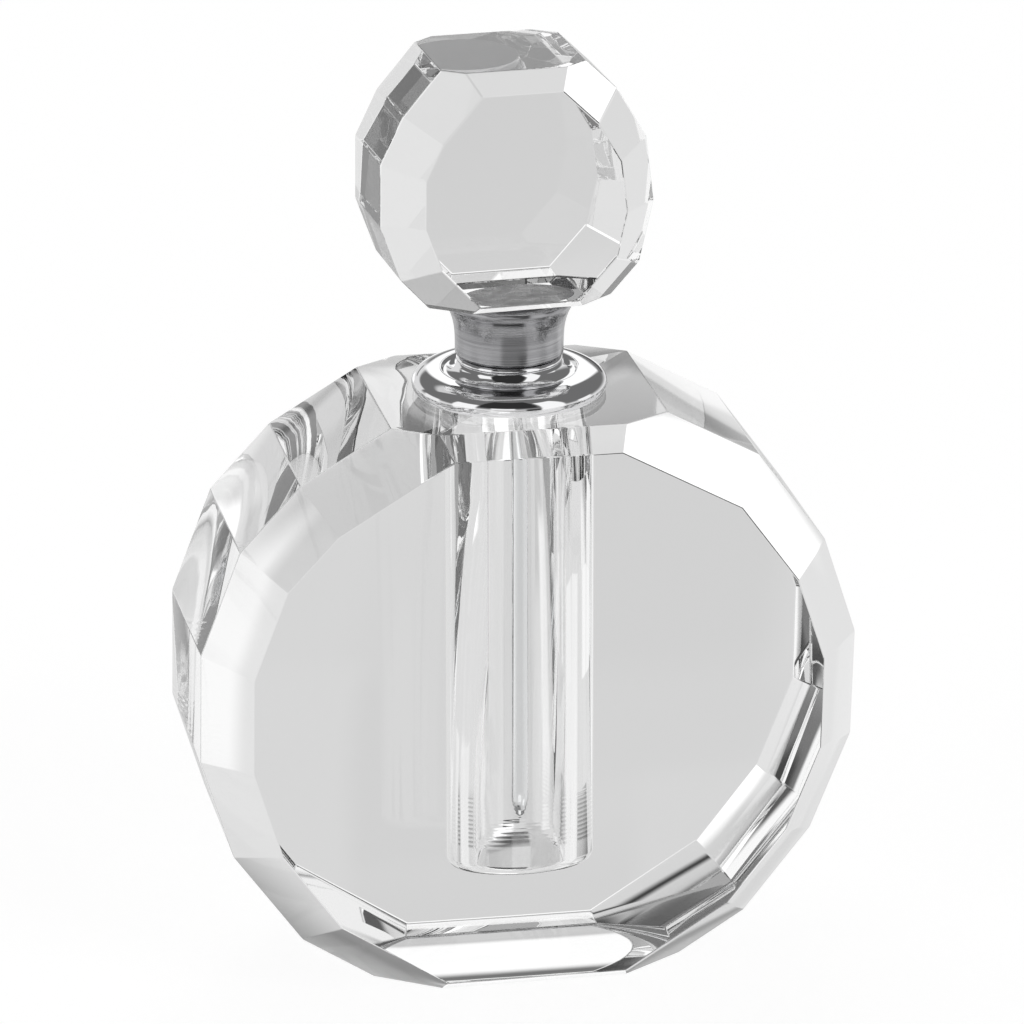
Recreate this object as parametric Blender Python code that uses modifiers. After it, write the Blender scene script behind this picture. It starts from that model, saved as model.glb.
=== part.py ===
"""Cut crystal perfume bottle with a metal neck collar and a dabber stopper.

The bottle is a thick crystal disc ground with flat facets and drilled down its
middle. The stopper is a smaller cut crystal on a turned metal ferrule, with a
plug that seals in the neck and a glass rod that hangs in the well.

Metres, +Z up. The origin is the centre of the base flat, on the neck's axis.
The tables (the two big flat faces) look along -Y and +Y.
"""

import math
from collections import namedtuple

import bmesh
import bpy
from mathutils import Vector

MM = 0.001

# ---- driving dimensions, in millimetres ------------------------------------

GAP = 0.3                  # clearance between pieces that touch on the real bottle
ROUND_STEPS = 48           # sides of the pieces that show
INNER_STEPS = 32           # sides of the pieces hidden in the neck

# Bottle: a disc that stands on edge, with its axis along Y
BODY_HEIGHT = 76.3         # base flat to neck flat
BODY_GIRDLE = 25.8         # front to back, along the girdle facets
BODY_DEPTH = 40.8          # front table to back table
BODY_BEVEL = 5.85          # how far a bevel facet steps in towards the axis
NECK_FLAT_LIP = 3.8        # how far the neck flat runs past the girdle
NECK_FLAT_BEVEL = 2.6
BASE_FLAT_LIP = 5.6
BASE_FLAT_BEVEL = 1.4
# Ground by hand, so its facets are uneven: where each one faces and how far out it is
BODY_LEFT = ((121, 42.0), (137, 43.0), (159, 43.35), (179, 43.25), (197, 43.25),
             (216, 43.3), (237.5, 43.3))
BODY_RIGHT = ((61.5, 42.3), (36, 43.3), (18, 43.6), (-1.5, 43.7), (-22, 43.45),
              (-38.5, 43.25), (-58, 43.2))

# Well drilled down the neck's axis
WELL_RADIUS = 9.6
WELL_FOOT = 13.4           # height of its floor
WELL_CORNER = 1.6          # radius between wall and floor

# Neck collar; its heights are above the neck flat
FLANGE_RADIUS = 12.8
HUB_RADIUS = 6.9
COLLAR_BORE = 6.0
COLLAR_TOP = 4.95
RECESS_RADIUS = 10.95      # room under the collar for the ring and the sleeve
RECESS_TOP = 1.6

# Pieces in the neck
SLEEVE_RADIUS = 9.25
SLEEVE_WALL = 0.8
SLEEVE_DEPTH = 3.5
LINER_RADIUS = 5.7
LINER_BORE = 4.95
LINER_TOP = COLLAR_TOP - 0.35
LINER_FOOT = -2.5

# Stopper
STOPPER_TURN = 3.5         # degrees the stopper stands round from square
PLUG_RADIUS = 4.5
PLUG_TIP_RADIUS = 4.4
PLUG_FOOT = -2.8
PLUG_BORE = 3.1
PLUG_BORE_TOP = 4.0
PLUG_SHOULDER = 5.6
STEM_RADIUS = 3.0
STEM_TOP = 10.2
GROOVE_RADIUS = 3.75
GROOVE_FOOT = 0.0
GROOVE_TOP = 1.2
SEAL_WIRE = 0.3            # half the thickness of the seal ring
BUSH_RADIUS = 2.8
ROD_RADIUS = 1.75
ROD_TIP = 18.2             # height of the rod's tip above the base
FERRULE_FOOT = 5.25
FERRULE_SEAT = 12.95
FERRULE_FOOT_RADIUS = 7.04
FERRULE_RIM_RADIUS = 8.6
DISC_RADIUS = 7.0

# Stopper crystal; its centre is above the base flat and a little off the neck's axis
STOPPER_CENTRE = 105.1
STOPPER_OFFSET = -0.7
STOPPER_TOP = 17.0         # above its centre
STOPPER_FOOT = 14.6        # below its centre
STOPPER_GIRDLE = 14.1
STOPPER_DEPTH = 24.3
STOPPER_BEVEL = 4.8
STOPPER_TOP_LIP = 2.2      # how far the top flat runs past the girdle
STOPPER_TOP_BEVEL = 2.5
STOPPER_FOOT_LIP = 3.75
STOPPER_FOOT_BEVEL = 1.1
# Its uneven facets, as on the bottle
STOPPER_LEFT = ((139.5, 18.7), (154, 18.45), (179.5, 18.1), (200, 18.15), (223, 18.55))
STOPPER_RIGHT = ((46, 18.5), (30.5, 17.95), (7, 17.75), (-13, 18.2), (-42.5, 19.05))

Facet = namedtuple("Facet", "angle radius edge drop")
"""A ground facet: the direction it faces in the XZ plane, its distance from the
centre, half its run along Y, and how far its bevel steps in at the table."""


# ---- scene helpers -----------------------------------------------------------

def clear_scene():
    for leftover in list(bpy.data.objects):
        bpy.data.objects.remove(leftover, do_unlink=True)


def new_collection(name):
    collection = bpy.data.collections.new(name)
    bpy.context.scene.collection.children.link(collection)
    return collection


def new_material(name, color, roughness, metallic=0.0, clear=0.0):
    material = bpy.data.materials.new(name)
    material.use_nodes = True
    shader = material.node_tree.nodes["Principled BSDF"]
    shader.inputs["Base Color"].default_value = (*color, 1.0)
    shader.inputs["Roughness"].default_value = roughness
    shader.inputs["Metallic"].default_value = metallic
    shader.inputs["Transmission Weight"].default_value = clear
    return material


def new_object(name, mesh, collection, material=None):
    thing = bpy.data.objects.new(name, mesh)
    collection.objects.link(thing)
    if material:
        mesh.materials.append(material)
    return thing


# ---- cut crystal ---------------------------------------------------------------

def grind(bm, point, normal):
    """Cut away what lies beyond a plane and close the cut with one flat face."""
    everything = bm.verts[:] + bm.edges[:] + bm.faces[:]
    cut = bmesh.ops.bisect_plane(
        bm, geom=everything, dist=1e-6, plane_co=point, plane_no=normal,
        clear_outer=True)
    rim = [item for item in cut["geom_cut"] if isinstance(item, bmesh.types.BMEdge)]
    open_rim = [edge for edge in rim if edge.is_boundary]
    if open_rim:
        bmesh.ops.contextual_create(bm, geom=open_rim)


def cut_crystal(name, facets, half_depth):
    """A crystal blank ground along its facets, their bevels and its two tables."""
    mesh = bpy.data.meshes.new(name)
    bm = bmesh.new()
    bmesh.ops.create_cube(bm, size=120 * MM)
    for side in (-1, 1):
        grind(bm, Vector((0, side * half_depth * MM, 0)), Vector((0, side, 0)))
    for facet in facets:
        turn = math.radians(facet.angle)
        outward = Vector((math.cos(turn), 0, math.sin(turn)))
        grind(bm, outward * facet.radius * MM, outward)
        for side in (-1, 1):
            edge = outward * facet.radius + Vector((0, side * facet.edge, 0))
            slope = outward * (half_depth - facet.edge) + Vector((0, side * facet.drop, 0))
            grind(bm, edge * MM, slope.normalized())
    bmesh.ops.remove_doubles(bm, verts=bm.verts, dist=1e-6)
    bmesh.ops.recalc_face_normals(bm, faces=bm.faces)
    bm.to_mesh(mesh)
    bm.free()
    return mesh


def body_facets():
    """The facets of the bottle about its centre, at half its height."""
    edge = BODY_GIRDLE / 2
    half_height = BODY_HEIGHT / 2
    facets = [Facet(angle, radius, edge, BODY_BEVEL) for angle, radius in BODY_LEFT + BODY_RIGHT]
    facets.append(Facet(90, half_height, edge + NECK_FLAT_LIP, NECK_FLAT_BEVEL))
    facets.append(Facet(-90, half_height, edge + BASE_FLAT_LIP, BASE_FLAT_BEVEL))
    return facets


def stopper_facets():
    """The facets of the stopper crystal about its own centre."""
    edge = STOPPER_GIRDLE / 2
    sides = STOPPER_LEFT + STOPPER_RIGHT
    facets = [Facet(angle, radius, edge, STOPPER_BEVEL) for angle, radius in sides]
    facets.append(Facet(90, STOPPER_TOP, edge + STOPPER_TOP_LIP, STOPPER_TOP_BEVEL))
    facets.append(Facet(-90, STOPPER_FOOT, edge + STOPPER_FOOT_LIP, STOPPER_FOOT_BEVEL))
    return facets


# ---- turned pieces -------------------------------------------------------------

def arc(centre_r, centre_z, radius, start, end, count=5):
    """Points of a turned profile along an arc, angles in degrees."""
    points = []
    for step in range(count + 1):
        turn = math.radians(start + (end - start) * step / count)
        points.append((centre_r + radius * math.cos(turn), centre_z + radius * math.sin(turn)))
    return points


def raised(profile, height):
    return [(r, z + height) for r, z in profile]


def turned(name, profile, collection, material=None, ring=True, steps=INNER_STEPS):
    """Turn a profile about Z. A ring's profile closes on itself, and a solid's
    profile runs from the axis to the axis. Both go down their outer side."""
    count = len(profile)
    links = [(i, i + 1) for i in range(count - 1)]
    if ring:
        links.append((count - 1, 0))
    mesh = bpy.data.meshes.new(name)
    mesh.from_pydata([(r * MM, 0, z * MM) for r, z in profile], links, [])
    piece = new_object(name, mesh, collection, material)
    screw = piece.modifiers.new("turn", "SCREW")
    screw.axis = "Z"
    screw.angle = math.tau
    screw.steps = steps
    screw.render_steps = steps
    screw.use_merge_vertices = True
    screw.merge_threshold = 1e-6
    screw.use_smooth_shade = True
    return piece


def collar_profile():
    """Down the collar's outer side: hub bead, channel, ridge, flange rim."""
    profile = [(COLLAR_BORE, COLLAR_TOP)]
    profile += arc(HUB_RADIUS - 0.5, COLLAR_TOP - 0.5, 0.5, 90, -45)
    profile += arc(8.45, 4.35, 1.6, 195, 270)
    profile += arc(9.85, 3.0, 0.42, 150, 65, 4)
    profile += arc(FLANGE_RADIUS - 0.8, 1.75, 0.8, 75, -50, 6)
    profile += [(11.4, GAP), (RECESS_RADIUS, GAP)]
    profile += [(RECESS_RADIUS, RECESS_TOP), (COLLAR_BORE, RECESS_TOP)]
    return profile


def sleeve_profile():
    """A skirt in the mouth of the well under a flat web."""
    top = RECESS_TOP - GAP
    inner = SLEEVE_RADIUS - SLEEVE_WALL
    return [(COLLAR_BORE, top), (SLEEVE_RADIUS, top), (SLEEVE_RADIUS, -SLEEVE_DEPTH),
            (inner, -SLEEVE_DEPTH), (inner, top - SLEEVE_WALL),
            (COLLAR_BORE, top - SLEEVE_WALL)]


def bedding_profile():
    inner, outer = SLEEVE_RADIUS + 0.6, RECESS_RADIUS - 0.35
    top = RECESS_TOP - GAP - 0.05
    return [(inner, top), (outer, top), (outer, GAP), (inner, GAP)]


def liner_profile():
    """A tube in the collar's bore, with a flange that catches under the sleeve."""
    flange_top = RECESS_TOP - GAP - SLEEVE_WALL - GAP
    return [(LINER_BORE, LINER_TOP), (LINER_RADIUS, LINER_TOP), (LINER_RADIUS, flange_top),
            (7.4, flange_top), (7.4, flange_top - 0.9), (LINER_RADIUS, flange_top - 1.3),
            (LINER_RADIUS, LINER_FOOT), (LINER_BORE, LINER_FOOT)]


def seal_profile():
    middle = GROOVE_RADIUS + GAP + SEAL_WIRE
    height = (GROOVE_FOOT + GROOVE_TOP) / 2
    return arc(middle, height, SEAL_WIRE, 180, -180, 10)[:-1]


def plug_profile():
    """Down the plug: stem, shoulder, grooved cone, then up its bore."""
    shoulder_foot = LINER_TOP + GAP
    return [(0, STEM_TOP), (STEM_RADIUS - 0.3, STEM_TOP), (STEM_RADIUS, STEM_TOP - 0.3),
            (STEM_RADIUS, shoulder_foot + 1.1), (PLUG_SHOULDER, shoulder_foot + 1.1),
            (PLUG_SHOULDER, shoulder_foot), (PLUG_RADIUS, shoulder_foot),
            (PLUG_RADIUS, GROOVE_TOP), (GROOVE_RADIUS, GROOVE_TOP),
            (GROOVE_RADIUS, GROOVE_FOOT), (PLUG_RADIUS, GROOVE_FOOT),
            (PLUG_TIP_RADIUS, PLUG_FOOT + 0.5), (PLUG_TIP_RADIUS - 0.5, PLUG_FOOT),
            (PLUG_BORE, PLUG_FOOT), (PLUG_BORE, PLUG_BORE_TOP), (0, PLUG_BORE_TOP)]


def bush_profile():
    bore, top, foot = ROD_RADIUS + GAP, PLUG_BORE_TOP - GAP, PLUG_FOOT + 0.2
    return [(bore, top), (BUSH_RADIUS, top), (BUSH_RADIUS, foot), (bore, foot)]


def rod_profile():
    """A glass rod fused to a round tip; heights are above the base flat."""
    top = BODY_HEIGHT + PLUG_BORE_TOP - 0.6
    tip = arc(0, ROD_TIP + ROD_RADIUS, ROD_RADIUS, 0, -90, 6)[:-1]
    return [(0, top), (ROD_RADIUS, top)] + tip + [(0, ROD_TIP)]


def ferrule_profile():
    """A flared cup: seat, rounded rim, waist and foot, then the plug's socket."""
    profile = [(0, FERRULE_SEAT)]
    profile += arc(FERRULE_RIM_RADIUS - 1, FERRULE_SEAT - 1, 1.0, 90, 0)
    flare, waist = FERRULE_SEAT - 1.15, FERRULE_FOOT + 0.35
    for step in range(1, 8):
        rise = 1 - step / 7
        radius = FERRULE_FOOT_RADIUS + (FERRULE_RIM_RADIUS - FERRULE_FOOT_RADIUS) * rise ** 1.3
        profile.append((radius, waist + (flare - waist) * rise))
    recess_top = LINER_TOP + 2.6
    return profile + [(FERRULE_FOOT_RADIUS - 0.25, FERRULE_FOOT),
                      (PLUG_SHOULDER + GAP, FERRULE_FOOT), (PLUG_SHOULDER + GAP, recess_top),
                      (STEM_RADIUS + GAP, recess_top),
                      (STEM_RADIUS + GAP, STEM_TOP + GAP), (0, STEM_TOP + GAP)]


def washer_profile():
    foot = LINER_TOP + GAP + 1.1 + GAP
    inner, top = STEM_RADIUS + GAP, foot + 0.6
    return [(inner, top), (PLUG_SHOULDER, top), (PLUG_SHOULDER, foot), (inner, foot)]


def disc_profile():
    foot = FERRULE_SEAT + GAP
    top = STOPPER_CENTRE - STOPPER_FOOT - BODY_HEIGHT - GAP
    return [(0, top), (DISC_RADIUS, top), (DISC_RADIUS, foot), (0, foot)]


def well_profile():
    """The drill's path: a straight bore with a rounded foot."""
    corner = arc(WELL_RADIUS - WELL_CORNER, WELL_FOOT + WELL_CORNER, WELL_CORNER, 0, -90)
    top = BODY_HEIGHT + 2
    return [(0, top), (WELL_RADIUS, top)] + corner + [(0, WELL_FOOT)]


# ---- the two crystals ------------------------------------------------------------

def build_bottle(parts, cutters, crystal):
    mesh = cut_crystal("crystal_body", body_facets(), BODY_DEPTH / 2)
    body = new_object("crystal_body", mesh, parts, crystal)
    body.location.z = BODY_HEIGHT / 2 * MM
    drill = turned("well_drill", well_profile(), cutters, ring=False, steps=ROUND_STEPS)
    drill.hide_render = True
    drill.display_type = "WIRE"
    bore = body.modifiers.new("well", "BOOLEAN")
    bore.operation = "DIFFERENCE"
    bore.object = drill


def build_stopper_crystal(parts, crystal):
    mesh = cut_crystal("stopper_crystal", stopper_facets(), STOPPER_DEPTH / 2)
    ball = new_object("stopper_crystal", mesh, parts, crystal)
    ball.location = (STOPPER_OFFSET * MM, 0, STOPPER_CENTRE * MM)
    ball.rotation_euler.z = math.radians(STOPPER_TURN)


def main():
    clear_scene()
    parts = new_collection("crystal_perfume_bottle")
    cutters = new_collection("cutters")

    crystal = new_material("crystal", (0.93, 0.94, 0.95), 0.02, clear=1.0)
    chrome = new_material("chrome", (0.62, 0.63, 0.65), 0.06, metallic=1.0)
    brushed = new_material("brushed_metal", (0.48, 0.48, 0.49), 0.34, metallic=1.0)
    glass = new_material("rod_glass", (0.90, 0.92, 0.93), 0.03, clear=1.0)
    plastic = new_material("white_plastic", (0.80, 0.81, 0.82), 0.42)
    seal = new_material("seal_rubber", (0.62, 0.63, 0.64), 0.60)
    adhesive = new_material("clear_adhesive", (0.78, 0.79, 0.80), 0.25, clear=0.6)

    build_bottle(parts, cutters, crystal)

    neck = BODY_HEIGHT
    turned("neck_collar", raised(collar_profile(), neck), parts, chrome, steps=ROUND_STEPS)
    turned("neck_sleeve", raised(sleeve_profile(), neck), parts, chrome)
    turned("bedding_ring", raised(bedding_profile(), neck), parts, adhesive)
    turned("neck_liner", raised(liner_profile(), neck), parts, plastic)

    turned("seal_ring", raised(seal_profile(), neck), parts, seal)
    turned("stopper_plug", raised(plug_profile(), neck), parts, plastic, ring=False)
    turned("rod_bush", raised(bush_profile(), neck), parts, plastic)
    turned("dabber_rod", rod_profile(), parts, glass, ring=False)
    turned("ferrule_washer", raised(washer_profile(), neck), parts, seal)
    turned("stopper_ferrule", raised(ferrule_profile(), neck), parts, brushed, ring=False,
           steps=ROUND_STEPS)
    turned("bonding_disc", raised(disc_profile(), neck), parts, adhesive, ring=False)
    build_stopper_crystal(parts, crystal)


main()
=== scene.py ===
"""Looks of the cut crystal perfume bottle with a dabber stopper.

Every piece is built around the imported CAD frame: the crystals keep the planes of
their CAD nodes and get worked edges and a smooth, tool-marked well, and the turned
metal, glass and plastic pieces are rebuilt finer inside their CAD nodes' boxes.
Metres, +Z up.
"""

import math

import bmesh
import bpy
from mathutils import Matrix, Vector


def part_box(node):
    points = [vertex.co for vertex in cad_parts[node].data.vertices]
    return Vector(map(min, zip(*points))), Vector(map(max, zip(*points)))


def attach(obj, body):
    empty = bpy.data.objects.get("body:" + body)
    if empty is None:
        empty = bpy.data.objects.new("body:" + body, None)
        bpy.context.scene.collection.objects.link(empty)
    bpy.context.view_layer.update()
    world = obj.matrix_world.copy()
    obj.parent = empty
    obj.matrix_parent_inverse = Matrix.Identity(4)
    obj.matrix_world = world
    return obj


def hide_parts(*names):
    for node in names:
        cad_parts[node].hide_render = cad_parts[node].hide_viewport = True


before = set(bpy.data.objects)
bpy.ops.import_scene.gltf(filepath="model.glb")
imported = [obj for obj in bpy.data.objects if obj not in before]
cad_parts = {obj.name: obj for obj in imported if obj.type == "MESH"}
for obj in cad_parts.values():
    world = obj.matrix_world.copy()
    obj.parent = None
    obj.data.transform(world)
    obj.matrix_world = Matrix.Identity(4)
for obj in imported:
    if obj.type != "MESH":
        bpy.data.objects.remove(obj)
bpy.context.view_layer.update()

MM = 0.001
SIDES = 160                # sides of a turned piece that shows
EDGE_WIDTH = 0.15 * MM     # worked edge between two facets
FLOOR_GAP = 0.02 * MM      # how far the floor lies below the base flat
FLOOR_SIZE = 6.0           # metres
WELL_RADIUS = 9.6          # in millimetres, like the profiles below
WELL_FOOT = 13.4           # the well's floor above the base flat


# ---- mesh helpers ----------------------------------------------------------------

def add_piece(name, mesh, material, body, slot, *nodes):
    """Make an object that rides on a body and stands for CAD nodes."""
    mesh.materials.append(material)
    piece = bpy.data.objects.new(name, mesh)
    bpy.context.scene.collection.objects.link(piece)
    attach(piece, body)
    if nodes:
        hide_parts(*nodes)
    return piece


def apply_modifiers(thing):
    """Swap an object's mesh for what its modifiers make of it."""
    evaluated = thing.evaluated_get(bpy.context.evaluated_depsgraph_get())
    mesh = bpy.data.meshes.new_from_object(evaluated)
    thing.modifiers.clear()
    thing.data = mesh
    return mesh


def loose_object(name, mesh):
    """An object only used while a mesh is made."""
    thing = bpy.data.objects.new(name, mesh)
    bpy.context.scene.collection.objects.link(thing)
    return thing


def arc(centre_r, centre_z, radius, start, end, count=8):
    """Points of a profile along an arc, angles in degrees, lengths in millimetres."""
    points = []
    for step in range(count + 1):
        turn = math.radians(start + (end - start) * step / count)
        points.append((centre_r + radius * math.cos(turn), centre_z + radius * math.sin(turn)))
    return points


def raised(profile, height):
    """Lift a profile, in millimetres."""
    return [(r, z + height) for r, z in profile]


def turned_mesh(name, profile, ring=True, sides=SIDES, smooth_below=35, ribs=0, rib_depth=0.0):
    """Turn a profile in millimetres about Z. A ring closes on itself, and a solid
    runs from the axis to the axis. Both go down their outer side. Ribs cut grooves
    along Z into the outermost part of the profile."""
    widest = max(r for r, z in profile)
    bm = bmesh.new()
    rows = []
    for r, z in profile:
        if r < 1e-6:
            rows.append([bm.verts.new((0, 0, z * MM))])
            continue
        row = []
        for side in range(sides):
            turn = math.tau * side / sides
            groove = rib_depth * (0.5 - 0.5 * math.cos(ribs * turn)) if r > widest - 0.05 else 0
            reach = (r - groove) * MM
            row.append(bm.verts.new((reach * math.cos(turn), reach * math.sin(turn), z * MM)))
        rows.append(row)
    pairs = list(zip(rows, rows[1:]))
    if ring:
        pairs.append((rows[-1], rows[0]))
    for upper, lower in pairs:
        for side in range(sides):
            after = (side + 1) % sides
            corners = [upper[side % len(upper)], lower[side % len(lower)],
                       lower[after % len(lower)], upper[after % len(upper)]]
            corners = list(dict.fromkeys(corners))
            if len(corners) > 2:
                bm.faces.new(corners)
    mesh = bpy.data.meshes.new(name)
    bm.to_mesh(mesh)
    bm.free()
    mesh.shade_smooth()
    mesh.set_sharp_from_angle(angle=math.radians(smooth_below))
    return mesh


# ---- materials -------------------------------------------------------------------

def new_material(name):
    material = bpy.data.materials.new(name)
    material.use_nodes = True
    tree = material.node_tree
    shader = tree.nodes["Principled BSDF"]
    return material, tree, shader


def add_bump(tree, shader, height, strength, distance):
    bump = tree.nodes.new("ShaderNodeBump")
    bump.inputs["Strength"].default_value = strength
    bump.inputs["Distance"].default_value = distance
    tree.links.new(height, bump.inputs["Height"])
    tree.links.new(bump.outputs["Normal"], shader.inputs["Normal"])


def noise(tree, scale, detail=3.0, stretch=(1, 1, 1)):
    """Noise over the piece's own space, stretched along its axes."""
    place = tree.nodes.new("ShaderNodeTexCoord")
    mapping = tree.nodes.new("ShaderNodeMapping")
    mapping.inputs["Scale"].default_value = stretch
    texture = tree.nodes.new("ShaderNodeTexNoise")
    texture.inputs["Scale"].default_value = scale
    texture.inputs["Detail"].default_value = detail
    tree.links.new(place.outputs["Object"], mapping.inputs["Vector"])
    tree.links.new(mapping.outputs["Vector"], texture.inputs["Vector"])
    return texture.outputs["Fac"]


def map_range(tree, value, low, high):
    """Spread the middle of a noise over a range."""
    scaled = tree.nodes.new("ShaderNodeMapRange")
    scaled.inputs["From Min"].default_value = 0.3
    scaled.inputs["From Max"].default_value = 0.7
    scaled.inputs["To Min"].default_value = low
    scaled.inputs["To Max"].default_value = high
    tree.links.new(value, scaled.inputs["Value"])
    return scaled.outputs["Result"]


def crystal_material():
    material, tree, shader = new_material("polished_crystal")
    shader.inputs["Base Color"].default_value = (0.975, 0.975, 0.975, 1)
    shader.inputs["Transmission Weight"].default_value = 1.0
    shader.inputs["IOR"].default_value = 1.53
    tree.links.new(map_range(tree, noise(tree, 400), 0.0, 0.006), shader.inputs["Roughness"])
    add_bump(tree, shader, noise(tree, 85, 2.0), 1.0, 0.012 * MM)
    return material


def glass_material():
    material, tree, shader = new_material("drawn_glass")
    shader.inputs["Base Color"].default_value = (0.96, 0.97, 0.975, 1)
    shader.inputs["Transmission Weight"].default_value = 1.0
    shader.inputs["IOR"].default_value = 1.49
    shader.inputs["Roughness"].default_value = 0.0
    return material


def chrome_material():
    material, tree, shader = new_material("polished_chrome")
    shader.inputs["Base Color"].default_value = (0.93, 0.93, 0.94, 1)
    shader.inputs["Metallic"].default_value = 1.0
    tree.links.new(map_range(tree, noise(tree, 900), 0.035, 0.075), shader.inputs["Roughness"])
    add_bump(tree, shader, noise(tree, 260, 2.0), 0.05, 0.02 * MM)
    return material


def brushed_material():
    material, tree, shader = new_material("turned_metal")
    shader.inputs["Metallic"].default_value = 1.0
    rings = noise(tree, 1.0, 4.0, (60, 60, 9000))
    tone = tree.nodes.new("ShaderNodeMix")
    tone.data_type = "RGBA"
    tone.inputs["A"].default_value = (0.27, 0.27, 0.28, 1)
    tone.inputs["B"].default_value = (0.50, 0.50, 0.51, 1)
    tree.links.new(map_range(tree, rings, 0, 1), tone.inputs["Factor"])
    tree.links.new(tone.outputs["Result"], shader.inputs["Base Color"])
    tree.links.new(map_range(tree, rings, 0.10, 0.26), shader.inputs["Roughness"])
    add_bump(tree, shader, rings, 0.35, 0.02 * MM)
    return material


def plastic_material():
    material, tree, shader = new_material("moulded_plastic")
    shader.inputs["Base Color"].default_value = (0.80, 0.81, 0.82, 1)
    tree.links.new(map_range(tree, noise(tree, 700), 0.35, 0.5), shader.inputs["Roughness"])
    add_bump(tree, shader, noise(tree, 1500), 0.1, 0.02 * MM)
    return material


def rubber_material():
    material, tree, shader = new_material("seal_rubber")
    shader.inputs["Base Color"].default_value = (0.55, 0.56, 0.57, 1)
    tree.links.new(map_range(tree, noise(tree, 1200), 0.5, 0.7), shader.inputs["Roughness"])
    add_bump(tree, shader, noise(tree, 2500), 0.2, 0.02 * MM)
    return material


def adhesive_material():
    material, tree, shader = new_material("cured_adhesive")
    shader.inputs["Base Color"].default_value = (0.36, 0.36, 0.37, 1)
    tree.links.new(map_range(tree, noise(tree, 500), 0.2, 0.4), shader.inputs["Roughness"])
    add_bump(tree, shader, noise(tree, 900), 0.3, 0.03 * MM)
    return material


# ---- crystals ----------------------------------------------------------------------

def facet_mesh(node):
    """The crystal of a CAD node without its well: the hull of its flat facets."""
    bm = bmesh.new()
    bm.from_mesh(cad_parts[node].data)
    bmesh.ops.delete(bm, geom=bm.faces[:], context="FACES_KEEP_BOUNDARY")
    bmesh.ops.remove_doubles(bm, verts=bm.verts, dist=1e-6)
    hull = bmesh.ops.convex_hull(bm, input=bm.verts)
    inner = [item for item in hull["geom_interior"] if isinstance(item, bmesh.types.BMVert)]
    bmesh.ops.delete(bm, geom=inner, context="VERTS")
    bmesh.ops.dissolve_limit(bm, angle_limit=math.radians(0.3), verts=bm.verts, edges=bm.edges)
    bmesh.ops.recalc_face_normals(bm, faces=bm.faces)
    mesh = bpy.data.meshes.new(node + "_facets")
    bm.to_mesh(mesh)
    bm.free()
    return mesh


def worked_edges(mesh):
    """Take the knife edge off every facet edge."""
    blank = loose_object("blank", mesh)
    bevel = blank.modifiers.new("edges", "BEVEL")
    bevel.width = EDGE_WIDTH
    bevel.segments = 2
    bevel.limit_method = "ANGLE"
    bevel.angle_limit = math.radians(3)
    result = apply_modifiers(blank)
    bpy.data.objects.remove(blank)
    return result


def well_profile(neck, foot, radius):
    """The drilled well: a polished bore, faint ring marks near the foot, a round
    corner and a slightly crowned floor."""
    corner = 1.6
    overrun = 0.5
    marks_foot, marks_top, pitch = foot + 3.6, foot + 10.8, 0.6
    half_mark, depth = 0.18, 0.012
    profile = [(0, neck + overrun), (radius, neck + overrun), (radius, marks_top)]
    count = int((marks_top - marks_foot) / pitch)
    for mark in range(count):
        level = marks_top - pitch * (mark + 0.5)
        profile += [(radius, level + half_mark), (radius + depth, level),
                    (radius, level - half_mark)]
    profile += arc(radius - corner, foot + corner, corner, 0, -90, 12)
    profile += [(radius * 0.45, foot + 0.05), (0, foot + 0.08)]
    return profile


def build_bottle(crystal):
    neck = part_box("crystal_body")[1].z / MM
    block = loose_object("block", worked_edges(facet_mesh("crystal_body")))
    profile = well_profile(neck, WELL_FOOT, WELL_RADIUS)
    drill = loose_object("drill", turned_mesh("drill", profile, ring=False, sides=192))
    bore = block.modifiers.new("well", "BOOLEAN")
    bore.operation = "DIFFERENCE"
    bore.object = drill
    mesh = apply_modifiers(block)
    bpy.data.objects.remove(block)
    bpy.data.objects.remove(drill)
    for face in mesh.polygons:
        centre = face.center
        in_well = math.hypot(centre.x, centre.y) < (WELL_RADIUS + 0.03) * MM
        face.use_smooth = in_well and WELL_FOOT - 0.5 < centre.z / MM < neck - 0.01
    mesh.set_sharp_from_angle(angle=math.radians(40))
    mesh.name = "bottle_crystal"
    add_piece("bottle_crystal", mesh, crystal, "bottle", "crystal", "crystal_body")


def build_stopper_crystal(crystal):
    mesh = worked_edges(facet_mesh("stopper_crystal"))
    mesh.name = "stopper_ball"
    add_piece("stopper_ball", mesh, crystal, "stopper", "crystal", "stopper_crystal")


# ---- neck and stopper fittings -------------------------------------------------------

def collar_profile():
    """Hub bead, fillet, ridge and half-round flange, above the neck flat."""
    profile = [(6.0, 4.75)]
    profile += arc(6.15, 4.80, 0.15, 180, 90, 4)
    profile += arc(6.5, 4.5, 0.45, 90, -40, 14)
    profile += arc(8.65, 4.35, 1.6, 195, 268, 18)
    profile += arc(9.0, 2.95, 0.22, 120, 60, 6)
    flange_r, flange_z, reach, rise = 9.6, 1.15, 3.2, 2.0
    first_turn, pitch = 98, 4.75
    for step in range(28):
        turn = math.radians(first_turn - step * pitch)
        profile.append((flange_r + reach * math.cos(turn), flange_z + rise * math.sin(turn)))
    profile += [(12.0, 0.02), (10.95, 0.02)]
    profile += [(10.95, 1.6), (6.0, 1.6)]
    return profile


def ferrule_profile():
    """Seat, rolled lip, flared wall, round foot and the hollow over the plug."""
    profile = [(0, 13.12), (7.0, 13.12)]
    profile += arc(7.55, 12.25, 0.8, 90, -10, 14)
    foot, rim, steps = 5.6, 11.8, 27
    throat, flare, curve = 7.1, 1.15, 3.2
    for step in range(1, steps + 1):
        rise = 1 - step / steps
        profile.append((throat + flare * rise ** curve, foot + (rim - foot) * rise))
    profile += arc(6.8, 5.45, 0.3, 0, -80, 5)
    profile += [(5.9, 5.15), (5.9, 7.2), (3.3, 7.2), (3.3, 10.5), (0, 10.5)]
    return profile


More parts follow.
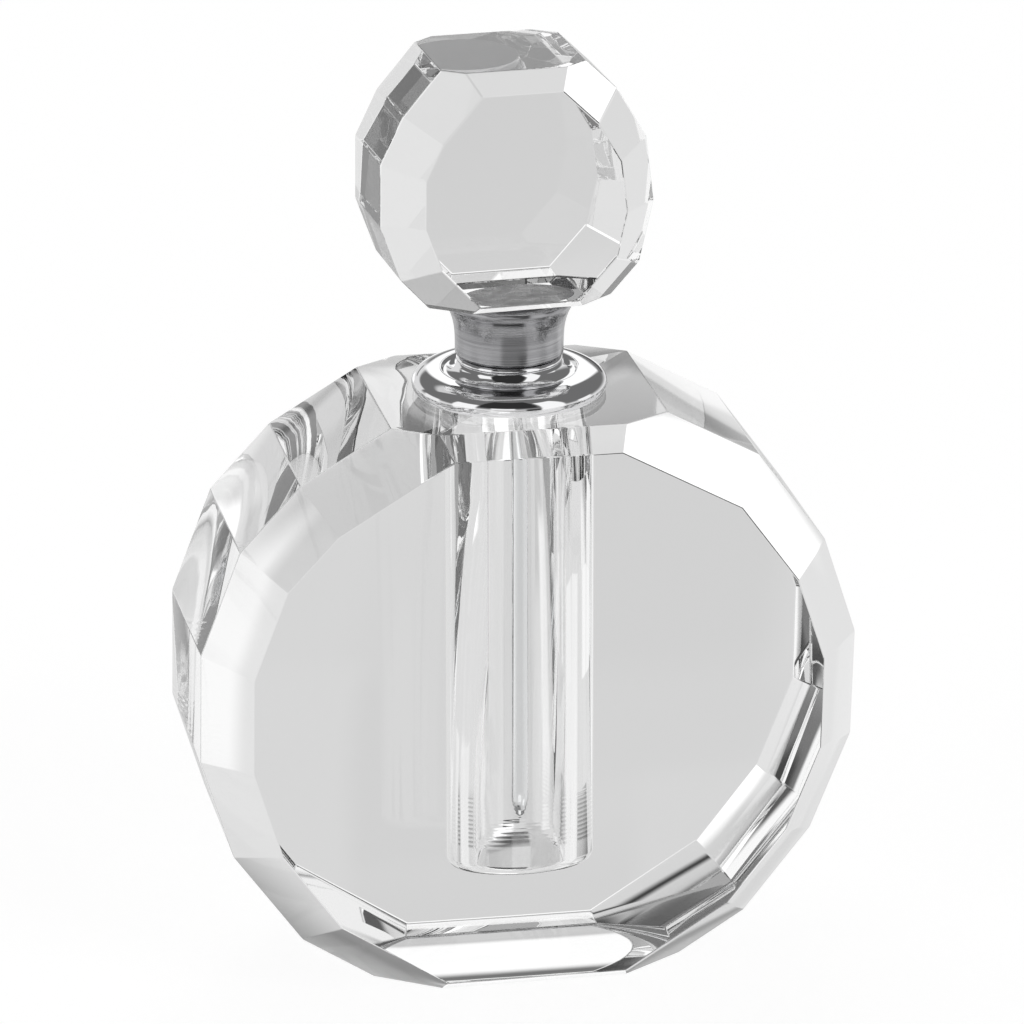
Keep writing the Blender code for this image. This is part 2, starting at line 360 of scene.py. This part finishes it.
def rod_profile(tip, top):
    """A drawn rod that tapers to a small round tip."""
    radius, chamfer = 1.75, 0.2
    taper, fullness, steps = 3.4, 0.6, 16
    profile = [(0, top), (radius - chamfer, top), (radius, top - chamfer)]
    for step in range(steps + 1):
        drop = step / steps
        reach = radius * math.cos(drop * math.pi / 2) ** fullness
        profile.append((reach, tip + taper * (1 - drop)))
    profile[-1] = (0, tip)
    return profile


def build_fittings(neck):
    chrome = chrome_material()
    brushed = brushed_material()
    plastic = plastic_material()
    rubber = rubber_material()
    adhesive = adhesive_material()

    add_piece("collar", turned_mesh("collar", raised(collar_profile(), neck)),
              chrome, "bottle", "chrome", "neck_collar")
    sleeve = [(6.1, 1.5), (9.2, 1.5), (9.2, 0.4), (9.5, 0.1), (9.5, -3.3), (9.2, -3.5), (8.6, -3.5),
              (8.5, -3.4), (8.5, 0.6), (6.1, 0.6)]
    add_piece("sleeve", turned_mesh("sleeve", raised(sleeve, neck), sides=480, ribs=60, rib_depth=0.4),
              chrome, "bottle", "chrome", "neck_sleeve")
    bedding = [(9.7, 1.4), (10.7, 1.4), (10.9, 0.7), (10.8, 0.02), (9.8, 0.02)]
    add_piece("bedding", turned_mesh("bedding", raised(bedding, neck)),
              adhesive, "bottle", "clear_adhesive", "bedding_ring")
    liner = [(4.95, 4.45), (5.1, 4.6), (5.7, 4.6), (5.7, 0.45), (7.4, 0.45), (7.4, -0.5),
             (5.75, -0.9), (5.7, -2.3), (5.5, -2.5), (5.1, -2.5), (4.95, -2.35)]
    add_piece("liner", turned_mesh("liner", raised(liner, neck)),
              plastic, "bottle", "white_plastic", "neck_liner")

    seal = arc(4.35, 0.6, 0.32, 180, -180, 20)[:-1]
    add_piece("seal", turned_mesh("seal", raised(seal, neck)),
              rubber, "seal", "seal_rubber", "seal_ring")

    plug = [(0, 10.2), (2.8, 10.2), (3.0, 10.0), (3.0, 6.0), (5.5, 6.0), (5.6, 5.9), (5.6, 4.9),
            (4.5, 4.9), (4.5, 1.2), (3.75, 1.2), (3.75, 0.0), (4.5, 0.0), (4.4, -2.3)]
    plug += arc(4.1, -2.5, 0.3, 0, -90, 5) + [(3.1, -2.8), (3.1, 4.0), (0, 4.0)]
    add_piece("plug", turned_mesh("plug", raised(plug, neck), ring=False),
              plastic, "stopper", "white_plastic", "stopper_plug")
    bush = [(1.95, 3.7), (2.9, 3.7), (2.9, -2.6), (2.7, -2.75), (2.1, -2.75), (1.95, -2.6)]
    add_piece("bush", turned_mesh("bush", raised(bush, neck)),
              plastic, "stopper", "white_plastic", "rod_bush")
    rod_low, rod_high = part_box("dabber_rod")
    add_piece("rod", turned_mesh("rod", rod_profile(rod_low.z / MM, rod_high.z / MM),
                                 ring=False, sides=96),
              glass_material(), "stopper", "rod_glass", "dabber_rod")
    washer = [(3.3, 6.9), (5.5, 6.9), (5.6, 6.8), (5.6, 6.3), (3.3, 6.3)]
    add_piece("washer", turned_mesh("washer", raised(washer, neck)),
              rubber, "stopper", "seal_rubber", "ferrule_washer")
    add_piece("ferrule", turned_mesh("ferrule", raised(ferrule_profile(), neck), ring=False),
              brushed, "stopper", "brushed_metal", "stopper_ferrule")
    disc = [(0, 14.21), (7.4, 14.21), (7.5, 13.7), (7.3, 13.14), (0, 13.14)]
    add_piece("bond", turned_mesh("bond", raised(disc, neck), ring=False),
              adhesive, "stopper", "clear_adhesive", "bonding_disc")


# ---- studio ------------------------------------------------------------------------

# Cards and flags round the bottle: azimuth (from the front, to the right), elevation,
# half width, half height and soft edge in degrees, then brightness. Later ones cover
# earlier ones. Their places and tones were fitted to the photograph, then changed,
# so they suit the camera's view best.
CARDS = (
    ("backdrop", 172, -22, 21, 10, 4, 0.70),
    ("horizon", 168, -8, 9, 5, 2, 1.1),
    ("sweep_left", 140, -48, 18, 13, 8, 0.62),
    ("sweep_right", -166, -50, 18, 14, 6, 1.25),
    ("rear_side", -158, 6, 24, 12, 5, 0.74),
    ("rear_glow", -167, -3, 6, 5, 3, 1.2),
    ("rear_slit", -173, 10, 7, 1, 2, 0.02),
    ("left_slit", 158, 4, 8, 3, 2, 0.06),
    ("rear_shade", -179, -33, 12, 4, 2, 0.04),
    ("kicker_left", 124, -30, 9, 14, 6, 1.0),
    ("top_rear", 166, 27, 14, 14, 5, 1.1),
    ("rear_ceiling", -170, 54, 38, 14, 6, 0.65),
    ("camera_gap", 0, -32, 28, 28, 8, 0.38),
    ("camera_flag", 22, -7, 13, 11, 4, 0.05),
    ("front_flag", -13, 44, 36, 28, 4, 0.03),
    ("front_low", -18, 5, 14, 9, 4, 0.9),
    ("softbox_left", -65, 8, 15, 27, 4, 1.0),
    ("softbox_right", 42, 18, 15, 38, 4, 1.0),
    ("side_left", -112, -6, 13, 16, 6, 0.9),
    ("side_right", 87, -8, 11, 18, 6, 0.95),
)
TABLE_TONE, ROOM_TONE = 0.78, 0.16     # light from below, and from the room above


def world_math(tree, operation, *values):
    """A math node over sockets and numbers."""
    node = tree.nodes.new("ShaderNodeMath")
    node.operation = operation
    for socket, value in zip(node.inputs, values):
        if isinstance(value, (int, float)):
            socket.default_value = value
        else:
            tree.links.new(value, socket)
    return node.outputs["Value"]


def world_step(tree, value, start, end, before, after):
    """A smooth step over angles in degrees."""
    step = tree.nodes.new("ShaderNodeMapRange")
    step.interpolation_type = "SMOOTHSTEP"
    step.inputs["From Min"].default_value = math.radians(start)
    step.inputs["From Max"].default_value = math.radians(end)
    step.inputs["To Min"].default_value = before
    step.inputs["To Max"].default_value = after
    tree.links.new(value, step.inputs["Value"])
    return step.outputs["Result"]


def world_mix(tree, factor, before, after):
    """Cover one tone with another where the factor is 1."""
    mix = tree.nodes.new("ShaderNodeMix")
    tree.links.new(factor, mix.inputs["Factor"])
    for name, value in (("A", before), ("B", after)):
        if isinstance(value, (int, float)):
            mix.inputs[name].default_value = value
        else:
            tree.links.new(value, mix.inputs[name])
    return mix.outputs["Result"]


def build_world():
    """A light tent all round the bottle. The camera itself sees plain white."""
    world = bpy.data.worlds.new("studio")
    bpy.context.scene.world = world
    world.use_nodes = True
    tree = world.node_tree
    place = tree.nodes.new("ShaderNodeTexCoord")
    split = tree.nodes.new("ShaderNodeSeparateXYZ")
    tree.links.new(place.outputs["Generated"], split.inputs["Vector"])
    behind = world_math(tree, "MULTIPLY", split.outputs["Y"], -1)
    azimuth = world_math(tree, "ARCTAN2", split.outputs["X"], behind)
    elevation = world_math(tree, "ARCSINE", split.outputs["Z"])
    tone = world_step(tree, elevation, -6, 12, TABLE_TONE, ROOM_TONE)
    for name, across, up, half_width, half_height, soft, brightness in CARDS:
        turn = world_math(tree, "SUBTRACT", azimuth, math.radians(across))
        turn = world_math(tree, "ABSOLUTE", world_math(tree, "WRAP", turn, math.pi, -math.pi))
        rise = world_math(tree, "ABSOLUTE",
                          world_math(tree, "SUBTRACT", elevation, math.radians(up)))
        wide = world_step(tree, turn, half_width - soft / 2, half_width + soft / 2, 1, 0)
        high = world_step(tree, rise, half_height - soft / 2, half_height + soft / 2, 1, 0)
        tone = world_mix(tree, world_math(tree, "MULTIPLY", wide, high), tone, brightness)
    path = tree.nodes.new("ShaderNodeLightPath")
    tone = world_mix(tree, path.outputs["Is Camera Ray"], tone, 1.0)
    tree.links.new(tone, tree.nodes["Background"].inputs["Color"])


def build_floor():
    """A plain white floor. Only the camera sees it, because the tent lights the bottle
    from below too."""
    bpy.ops.mesh.primitive_plane_add(size=FLOOR_SIZE)
    floor = bpy.context.object
    floor.name = "floor"
    floor.location.z = -FLOOR_GAP
    material, tree, shader = new_material("pale_floor")
    shader.inputs["Base Color"].default_value = (0.4, 0.4, 0.4, 1)
    shader.inputs["Roughness"].default_value = 0.9
    shader.inputs["Specular IOR Level"].default_value = 0.0
    shader.inputs["Emission Color"].default_value = (1, 1, 1, 1)
    shader.inputs["Emission Strength"].default_value = 0.88
    floor.data.materials.append(material)
    floor.visible_diffuse = False
    floor.visible_glossy = False
    floor.visible_transmission = False
    floor.visible_shadow = False


def build_camera():
    """A long lens, above the bottle and a little to its left. The values are a fit to
    the facet corners in the photograph."""
    azimuth, elevation = math.radians(-11.02), math.radians(19.57)
    target = Vector((0.37, 0, 59.2)) * MM
    distance = 854 * MM
    away = Vector((math.sin(azimuth) * math.cos(elevation),
                   -math.cos(azimuth) * math.cos(elevation), math.sin(elevation)))
    data = bpy.data.cameras.new("camera")
    data.lens = 228.2
    data.sensor_width = 36
    data.clip_start = 0.01
    camera = bpy.data.objects.new("camera", data)
    bpy.context.scene.collection.objects.link(camera)
    camera.location = target + away * distance
    camera.rotation_euler = away.to_track_quat("Z", "Y").to_euler()
    bpy.context.scene.camera = camera


def main():
    crystal = crystal_material()
    build_bottle(crystal)
    build_stopper_crystal(crystal)
    build_fittings(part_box("crystal_body")[1].z / MM)
    build_world()
    build_floor()
    build_camera()
    scene = bpy.context.scene
    scene.view_settings.view_transform = "Standard"
    scene.cycles.max_bounces = 32
    scene.cycles.transmission_bounces = 32
    scene.cycles.glossy_bounces = 16


main()
